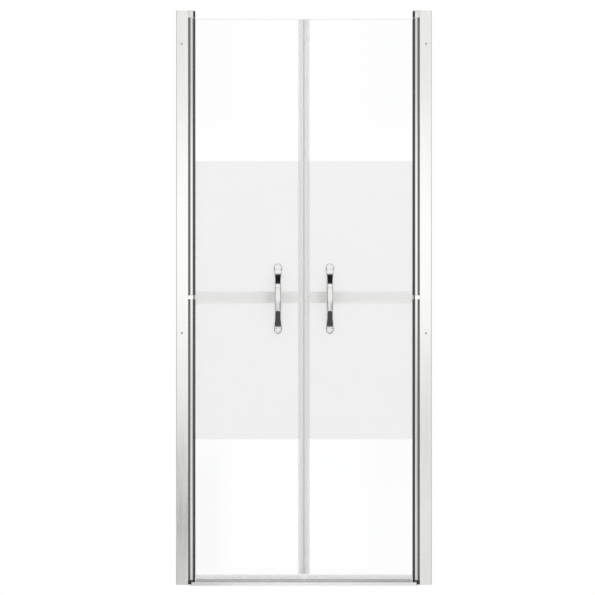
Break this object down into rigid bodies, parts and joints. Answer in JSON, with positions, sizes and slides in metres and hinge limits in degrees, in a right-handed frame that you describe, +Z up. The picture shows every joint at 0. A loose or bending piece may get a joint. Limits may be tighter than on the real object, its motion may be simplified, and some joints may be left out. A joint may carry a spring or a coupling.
{
  "type": "shower door",
  "caption": "Hinged shower door for a niche, with swinging framed leaves of clear and frosted glass, bow handles, side frames for the walls and a low threshold bar.",
  "frame": {"origin": "on the floor, in the middle of the door's width, in the plane of the closed glass", "axes": "+X to the right seen from outside, +Y into the shower, +Z up"},
  "size_m": [0.846, 0.0922, 1.9],
  "materials": {
    "wall_aluminium": "satin anodised",
    "frame_aluminium": "bright anodised",
    "barrel_aluminium": "polished and anodised",
    "threshold_aluminium": "bright anodised",
    "bearing_metal": "polished",
    "handle_chrome": "polished",
    "screw_steel": "plated",
    "pin_steel": "turned",
    "white_nylon": "satin",
    "black_nylon": "satin",
    "black_seal": "matt",
    "black_gasket": "matt",
    "magnet_rubber": "matt",
    "safety_glass": "polished, with a frosted band",
    "clear_profile": "clear, finely grooved",
    "clear_seal": "clear, slightly milky",
    "washer_plastic": "clear"
  },
  "bodies": {
    "frame": {"left_wall_profile": "wall_aluminium", "left_hinge_profile": "frame_aluminium", "left_top_block": "bearing_metal", "left_top_bush": "white_nylon", "left_mid_knuckle": "bearing_metal", "left_mid_bush": "white_nylon", "left_bottom_bearing": "black_nylon", "left_wiper_seals": "black_seal", "left_profile_screws": "screw_steel", "left_bearing_screws": "screw_steel", "left_top_cap": "black_nylon", "right_wall_profile": "wall_aluminium", "right_hinge_profile": "frame_aluminium", "right_top_block": "bearing_metal", "right_top_bush": "white_nylon", "right_mid_knuckle": "bearing_metal", "right_mid_bush": "white_nylon", "right_bottom_bearing": "black_nylon", "right_wiper_seals": "black_seal", "right_profile_screws": "screw_steel", "right_bearing_screws": "screw_steel", "right_top_cap": "black_nylon", "threshold_bar": "threshold_aluminium", "threshold_caps": "black_nylon"},
    "left_leaf": {"left_upper_barrel": "barrel_aluminium", "left_lower_barrel": "barrel_aluminium", "left_pivot_pins": "pin_steel", "left_upper_glass": "safety_glass", "left_lower_glass": "safety_glass", "left_upper_gasket": "black_gasket", "left_lower_gasket": "black_gasket", "left_joint_profile": "clear_profile", "left_meeting_seal": "clear_seal", "left_magnet_strip": "magnet_rubber", "left_drip_seal": "clear_seal", "left_outer_handle": "handle_chrome", "left_inner_handle": "handle_chrome", "left_handle_studs": "pin_steel", "left_handle_washers": "washer_plastic"},
    "right_leaf": {"right_upper_barrel": "barrel_aluminium", "right_lower_barrel": "barrel_aluminium", "right_pivot_pins": "pin_steel", "right_upper_glass": "safety_glass", "right_lower_glass": "safety_glass", "right_upper_gasket": "black_gasket", "right_lower_gasket": "black_gasket", "right_joint_profile": "clear_profile", "right_meeting_seal": "clear_seal", "right_magnet_strip": "magnet_rubber", "right_drip_seal": "clear_seal", "right_outer_handle": "handle_chrome", "right_inner_handle": "handle_chrome", "right_handle_studs": "pin_steel", "right_handle_washers": "washer_plastic"}
  },
  "joints": [
    {"name": "left_leaf_swing", "type": "hinge", "parent": "frame", "child": "left_leaf", "pos_m": [-0.372, 0, 0.951], "axis": [0, 0, 1], "range_deg": [-90, 90]},
    {"name": "right_leaf_swing", "type": "hinge", "parent": "frame", "child": "right_leaf", "pos_m": [0.372, 0, 0.951], "axis": [0, 0, -1], "range_deg": [-90, 90]}
  ]
}
